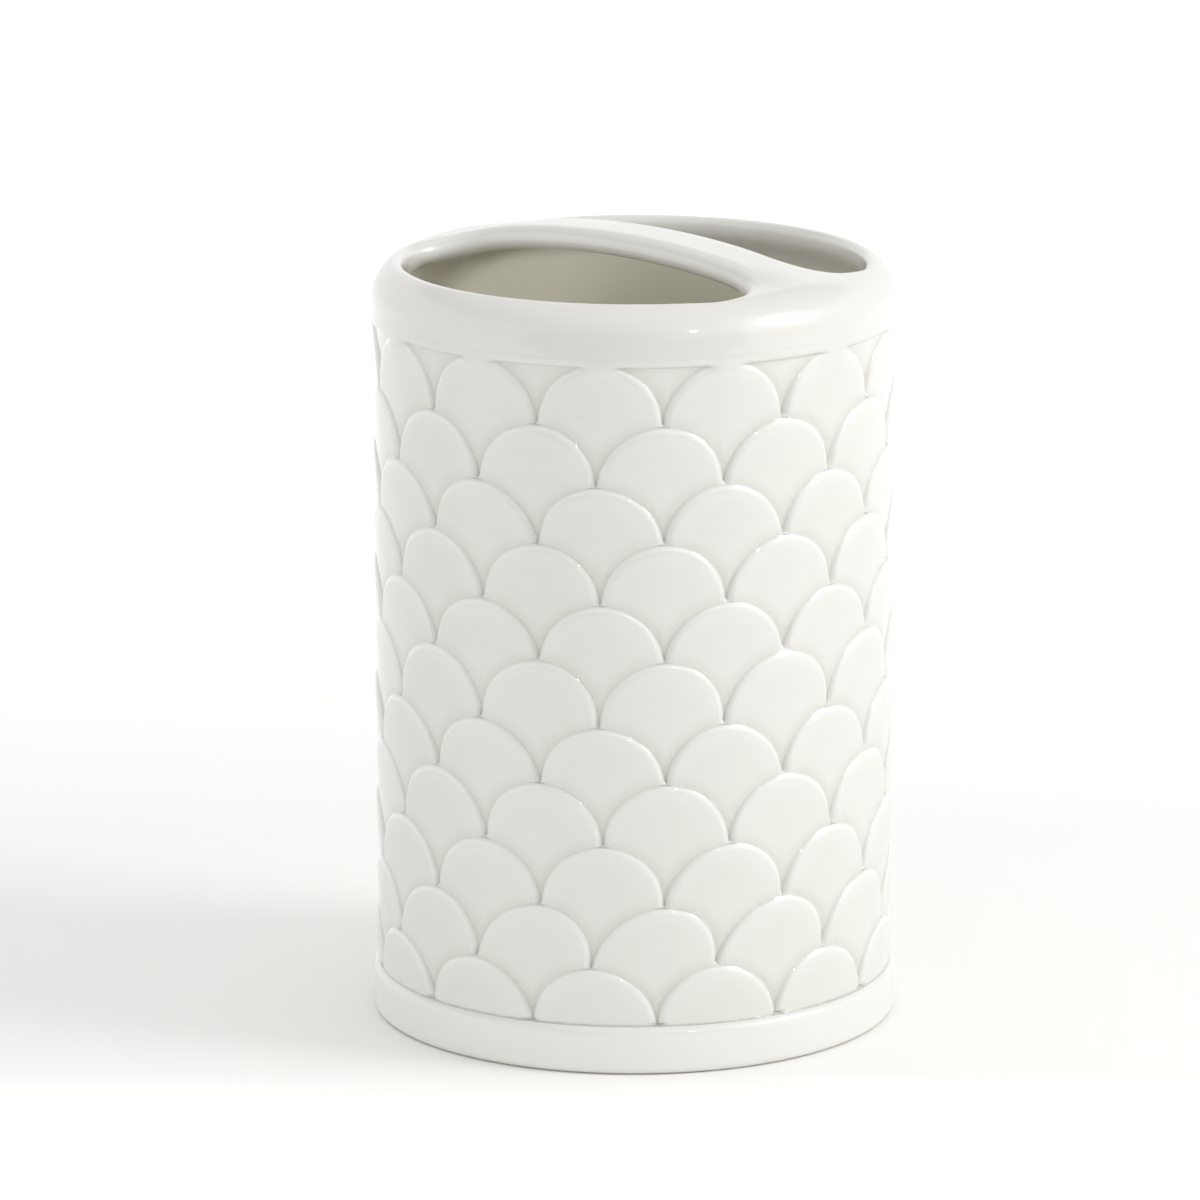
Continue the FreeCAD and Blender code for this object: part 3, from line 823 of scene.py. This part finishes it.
# Bumps: a noise, and its height in metres
GLAZE_WAVES = ((60.0, 1.0), 0.00025)
GLAZE_DIMPLES = ((260.0, 2.0), 0.00003)
POOL_RIPPLES = ((900.0, 1.0), 0.0003)
GLAZE_PITS = ((1500.0, 1.0), 0.000004)
CLAY_GRAIN = ((1800.0, 3.0, 0.6), 0.00006)
SLIP_PITS = ((1200.0, 2.0), 0.000004)


def nodes_for(name):
    material = bpy.data.materials.new(name)
    material.use_nodes = True
    tree = material.node_tree
    tree.nodes.clear()
    output = tree.nodes.new("ShaderNodeOutputMaterial")
    shader = tree.nodes.new("ShaderNodeBsdfPrincipled")
    tree.links.new(shader.outputs["BSDF"], output.inputs["Surface"])
    return material, tree, shader


def noise(tree, scale, detail, roughness=0.5):
    place = tree.nodes.new("ShaderNodeTexCoord")
    texture = tree.nodes.new("ShaderNodeTexNoise")
    texture.inputs["Scale"].default_value = scale
    texture.inputs["Detail"].default_value = detail
    texture.inputs["Roughness"].default_value = roughness
    tree.links.new(place.outputs["Object"], texture.inputs["Vector"])
    return texture.outputs["Fac"]


def remap(tree, value, low, high, to_low, to_high):
    node = tree.nodes.new("ShaderNodeMapRange")
    node.clamp = True
    for socket, number in zip(node.inputs[1:5], (low, high, to_low, to_high)):
        socket.default_value = number
    tree.links.new(value, node.inputs[0])
    return node.outputs[0]


def varied(tree, grain, low=0.0, high=1.0):
    """A value that wanders between two ends with a noise."""
    return remap(tree, noise(tree, *grain), *NOISE_BAND, low, high)


def carried(tree, name):
    """A value that the points of the mesh carry."""
    node = tree.nodes.new("ShaderNodeAttribute")
    node.attribute_name = name
    return node.outputs["Fac"]


def axes_of(tree, coordinate):
    """The X, Y and Z of a coordinate."""
    place = tree.nodes.new("ShaderNodeTexCoord")
    split = tree.nodes.new("ShaderNodeSeparateXYZ")
    tree.links.new(place.outputs[coordinate], split.inputs["Vector"])
    return [split.outputs[axis] for axis in "XYZ"]


def feed(tree, socket, source):
    """Give a socket its source, which is another socket, a number or a colour."""
    if isinstance(source, bpy.types.NodeSocket):
        tree.links.new(source, socket)
    else:
        socket.default_value = source


def mixed(tree, share, first, second):
    """Mix two colours."""
    node = tree.nodes.new("ShaderNodeMix")
    node.data_type = "RGBA"
    feed(tree, node.inputs[0], share)
    feed(tree, node.inputs[6], first)
    feed(tree, node.inputs[7], second)
    return node.outputs[2]


def math_of(tree, operation, *values):
    node = tree.nodes.new("ShaderNodeMath")
    node.operation = operation
    for socket, value in zip(node.inputs, values):
        feed(tree, socket, value)
    return node.outputs[0]


def bumped(tree, shader, *layers):
    """Chain bumps. Each has a noise, its height in metres and, where it doesn't lie all over, a
    value that says how much of it lies where."""
    normal = None
    for grain, height, *share in layers:
        raised = noise(tree, *grain)
        if share:
            raised = math_of(tree, "MULTIPLY", raised, share[0])
        node = tree.nodes.new("ShaderNodeBump")
        node.inputs["Distance"].default_value = height
        tree.links.new(raised, node.inputs["Height"])
        if normal is not None:
            tree.links.new(normal, node.inputs["Normal"])
        normal = node.outputs["Normal"]
    tree.links.new(normal, shader.inputs["Normal"])


def glossed(shader, roughness):
    """Lay a clear gloss over a finish."""
    shader.inputs["IOR"].default_value = GLOSS_IOR
    shader.inputs["Coat Weight"].default_value = 1.0
    shader.inputs["Coat Roughness"].default_value = roughness
    shader.inputs["Coat IOR"].default_value = GLOSS_IOR


def glazed_finish():
    """White glaze: greyer where it pools, with painted shade in the valleys, notches and steps; paler
    where it thins over edges, with painted highlights on the arc tops, the lips and the plain band;
    darker and warmer inside the cup as painted shade; and with fine specks, waves, dimples and pits."""
    material, tree, shader = nodes_for("glazed_ceramic_white")
    colour = mixed(tree, varied(tree, GLAZE_TONE), GLAZE_COLOUR, GLAZE_COLOUR_WARM)
    glaze_and_painted_light = carried(tree, "glaze_and_painted_light")
    pooled_and_shade = remap(tree, glaze_and_painted_light, POOL_AND_SHADE_START, 1.0, 0.0, 1.0)
    thinned_and_highlight = remap(tree, glaze_and_painted_light, -1.0, 0.0, 1.0, 0.0)
    speck = remap(tree, noise(tree, *SPECKS), *SPECK_BAND, 0.0, SPECK_SHARE)
    # Painted shade with the pooled glaze, and painted highlights with the thinned glaze
    colour = mixed(tree, pooled_and_shade, colour, GLAZE_COLOUR_POOLED_AND_SHADE)
    colour = mixed(tree, thinned_and_highlight, colour, GLAZE_COLOUR_THIN_AND_HIGHLIGHT)
    # Painted shade of the inside of the cup: darker and warmer
    colour = mixed(tree, carried(tree, "inside"), colour, GLAZE_COLOUR_INSIDE_SHADE)
    colour = mixed(tree, speck, colour, GLAZE_COLOUR_SPECK)
    tree.links.new(colour, shader.inputs["Base Color"])
    tree.links.new(varied(tree, *GLAZE_ROUGHNESS), shader.inputs["Roughness"])
    glossed(shader, GLAZE_GLOSS_ROUGHNESS)
    bumped(tree, shader, GLAZE_WAVES, GLAZE_DIMPLES, (*POOL_RIPPLES, pooled_and_shade), GLAZE_PITS)
    return material


def bare_finish():
    """Unglazed fired clay of the foot ring, sanded, with a little dirt in its grain."""
    material, tree, shader = nodes_for("bare_clay")
    colour = mixed(tree, varied(tree, CLAY_TONE), CLAY_COLOUR, CLAY_COLOUR_PALE)
    tree.links.new(colour, shader.inputs["Base Color"])
    tree.links.new(varied(tree, *CLAY_ROUGHNESS), shader.inputs["Roughness"])
    bumped(tree, shader, CLAY_GRAIN)
    return material


def slip_finish():
    """Fired slip in the joint, under the same thin run of glaze as the collar."""
    material, tree, shader = nodes_for("fired_slip_white")
    colour = mixed(tree, varied(tree, SLIP_TONE), GLAZE_COLOUR_WARM, GLAZE_COLOUR)
    # Painted shade of the inside, where the slip faces into the cup
    colour = mixed(tree, carried(tree, "inside"), colour, GLAZE_COLOUR_INSIDE_SHADE)
    tree.links.new(colour, shader.inputs["Base Color"])
    tree.links.new(varied(tree, *SLIP_ROUGHNESS), shader.inputs["Roughness"])
    glossed(shader, SLIP_GLOSS_ROUGHNESS)
    bumped(tree, shader, SLIP_PITS)
    return material


glazed = glazed_finish()
cup = make_cup([glazed, bare_finish()])
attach(cup, "root")
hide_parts("cast_cup")
top = make_top([glazed])
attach(top, "root")
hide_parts("bridged_top")
slip = make_slip([slip_finish()])
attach(slip, "root")
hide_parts("luting_slip")


# Stage, light and camera, in metres

WHITE = (1, 1, 1, 1)
FLOOR_REACH = 6.0
FLOOR_FRONT = -0.42
FLOOR_COLOUR = (0.935, 0.935, 0.915, 1)
FLOOR_COLOUR_PALE = (0.945, 0.945, 0.925, 1)
FLOOR_TONE = (3.0, 2.0)
FLOOR_ROUGHNESS = 0.9
# Glow of the floor round the object, behind it and in front of it, and the Y where it changes
FLOOR_GLOW = 0.045
BACK_GLOW = 0.36
GLOW_RISE = (0.10, 0.45)
FRONT_GLOW = 0.24
GLOW_FALL = (-0.062, -0.037)
# Light from all round, with a little more from the left and from behind
AMBIENT = 0.82
LEFT_FILL = 0.05
BACK_FILL = 0.06
# The white wall behind and beside the object that its gloss mirrors, and the dimmer room, as
# parts of the world's directions
WALL_TOP = (0.50, 0.62)
ROOM_SIDE = (-0.72, -0.62)
ROOM_LEVEL = 0.35
CEILING_RISE = (0.45, 0.80)
CEILING_LEVEL = 0.7
# Camera, as the photograph's perspective gives it
LENS = 225.27
SENSOR_WIDTH = 36
CAMERA_PLACE = (0, -1.064, 0.31425)
CAMERA_TURN_DEGREES = 0.267
CAMERA_DOWN_DEGREES = 13.408
CAMERA_ROLL_DEGREES = -0.103


def seen_or_lit(tree, lit, seen):
    """One strength for the rays that light the object, and another where the camera, or gloss
    or glass, sees it."""
    path = tree.nodes.new("ShaderNodeLightPath")
    share = path.outputs["Is Camera Ray"]
    for name in ("Is Glossy Ray", "Is Transmission Ray"):
        share = math_of(tree, "MAXIMUM", share, path.outputs[name])
    gain = math_of(tree, "SUBTRACT", seen, lit)
    return math_of(tree, "ADD", math_of(tree, "MULTIPLY", share, gain), lit)


def make_floor():
    """A white table top that ends in front of the object, out of the camera's sight. Its glow,
    which lights nothing, rises to the back and to the front."""
    mesh = bpy.data.meshes.new("floor")
    corners = [(x, y, 0) for y in (FLOOR_FRONT, FLOOR_REACH) for x in (-FLOOR_REACH, FLOOR_REACH)]
    mesh.from_pydata(corners, [], [(0, 1, 3, 2)])
    floor = bpy.data.objects.new("floor", mesh)
    bpy.context.scene.collection.objects.link(floor)
    material, tree, shader = nodes_for("floor_white")
    shader.inputs["Roughness"].default_value = FLOOR_ROUGHNESS
    shader.inputs["Specular IOR Level"].default_value = 0.0
    colour = mixed(tree, varied(tree, FLOOR_TONE), FLOOR_COLOUR, FLOOR_COLOUR_PALE)
    tree.links.new(colour, shader.inputs["Base Color"])
    shader.inputs["Emission Color"].default_value = WHITE
    _, y, _ = axes_of(tree, "Object")
    back = remap(tree, y, *GLOW_RISE, FLOOR_GLOW, BACK_GLOW)
    front = remap(tree, y, *GLOW_FALL, FRONT_GLOW, FLOOR_GLOW)
    glow = math_of(tree, "MAXIMUM", back, front)
    seen = seen_or_lit(tree, 0.0, 1.0)
    tree.links.new(math_of(tree, "MULTIPLY", glow, seen), shader.inputs["Emission Strength"])
    mesh.materials.append(material)


def make_world():
    """White for the camera, soft light for the object, and a plain room for its gloss."""
    world = bpy.data.worlds.new("studio")
    world.use_nodes = True
    tree = world.node_tree
    tree.nodes.clear()
    output = tree.nodes.new("ShaderNodeOutputWorld")
    background = tree.nodes.new("ShaderNodeBackground")
    background.inputs["Color"].default_value = WHITE
    x, y, z = axes_of(tree, "Generated")
    low = remap(tree, z, *WALL_TOP, 1.0, 0.0)
    behind = remap(tree, y, *ROOM_SIDE, 0.0, 1.0)
    wall = math_of(tree, "MULTIPLY", low, behind)
    room = remap(tree, z, *CEILING_RISE, ROOM_LEVEL, CEILING_LEVEL)
    mirrored_level = math_of(tree, "MAXIMUM", wall, room)
    path = tree.nodes.new("ShaderNodeLightPath")
    level = math_of(tree, "MAXIMUM", mirrored_level, path.outputs["Is Camera Ray"])
    fill = remap(tree, x, -1.0, 1.0, AMBIENT + LEFT_FILL, AMBIENT - LEFT_FILL)
    fill = math_of(tree, "ADD", fill, math_of(tree, "MULTIPLY", y, BACK_FILL))
    tree.links.new(seen_or_lit(tree, fill, level), background.inputs["Strength"])
    tree.links.new(background.outputs["Background"], output.inputs["Surface"])
    bpy.context.scene.world = world


def add_lamp(name, azimuth, elevation, distance, size, power, gloss_only=False):
    """A round lamp that looks at the middle of the object. It may show in the gloss alone."""
    lamp = bpy.data.lights.new(name, "AREA")
    lamp.shape = "DISK"
    lamp.size = size
    lamp.energy = power
    turn, lift = math.radians(azimuth), math.radians(elevation)
    flat = math.cos(lift)
    away = Vector((math.sin(turn) * flat, -math.cos(turn) * flat, math.sin(lift)))
    piece = bpy.data.objects.new(name, lamp)
    piece.location = Vector((0, 0, CREST_HEIGHT * MM / 2)) + distance * away
    piece.rotation_euler = away.to_track_quat("Z", "Y").to_euler()
    piece.visible_diffuse = not gloss_only
    bpy.context.scene.collection.objects.link(piece)


def turned_about(axis, degrees):
    return Matrix.Rotation(math.radians(degrees), 4, axis)


make_floor()
make_world()
add_lamp("key_lamp", azimuth=75, elevation=32, distance=1.2, size=0.5, power=4.75)
add_lamp("small_lamp", azimuth=27, elevation=29, distance=1.4, size=0.07, power=1.6, gloss_only=True)
add_lamp("glint_lamp", azimuth=74, elevation=31, distance=1.3, size=0.06, power=5.0, gloss_only=True)

lens = bpy.data.cameras.new("camera")
lens.lens = LENS
lens.sensor_width = SENSOR_WIDTH
camera = bpy.data.objects.new("camera", lens)
camera.matrix_world = (Matrix.Translation(CAMERA_PLACE) @ turned_about("Z", CAMERA_TURN_DEGREES)
                       @ turned_about("X", 90 - CAMERA_DOWN_DEGREES)
                       @ turned_about("Z", CAMERA_ROLL_DEGREES))
bpy.context.scene.collection.objects.link(camera)
bpy.context.scene.camera = camera
bpy.context.scene.view_settings.view_transform = "Standard"
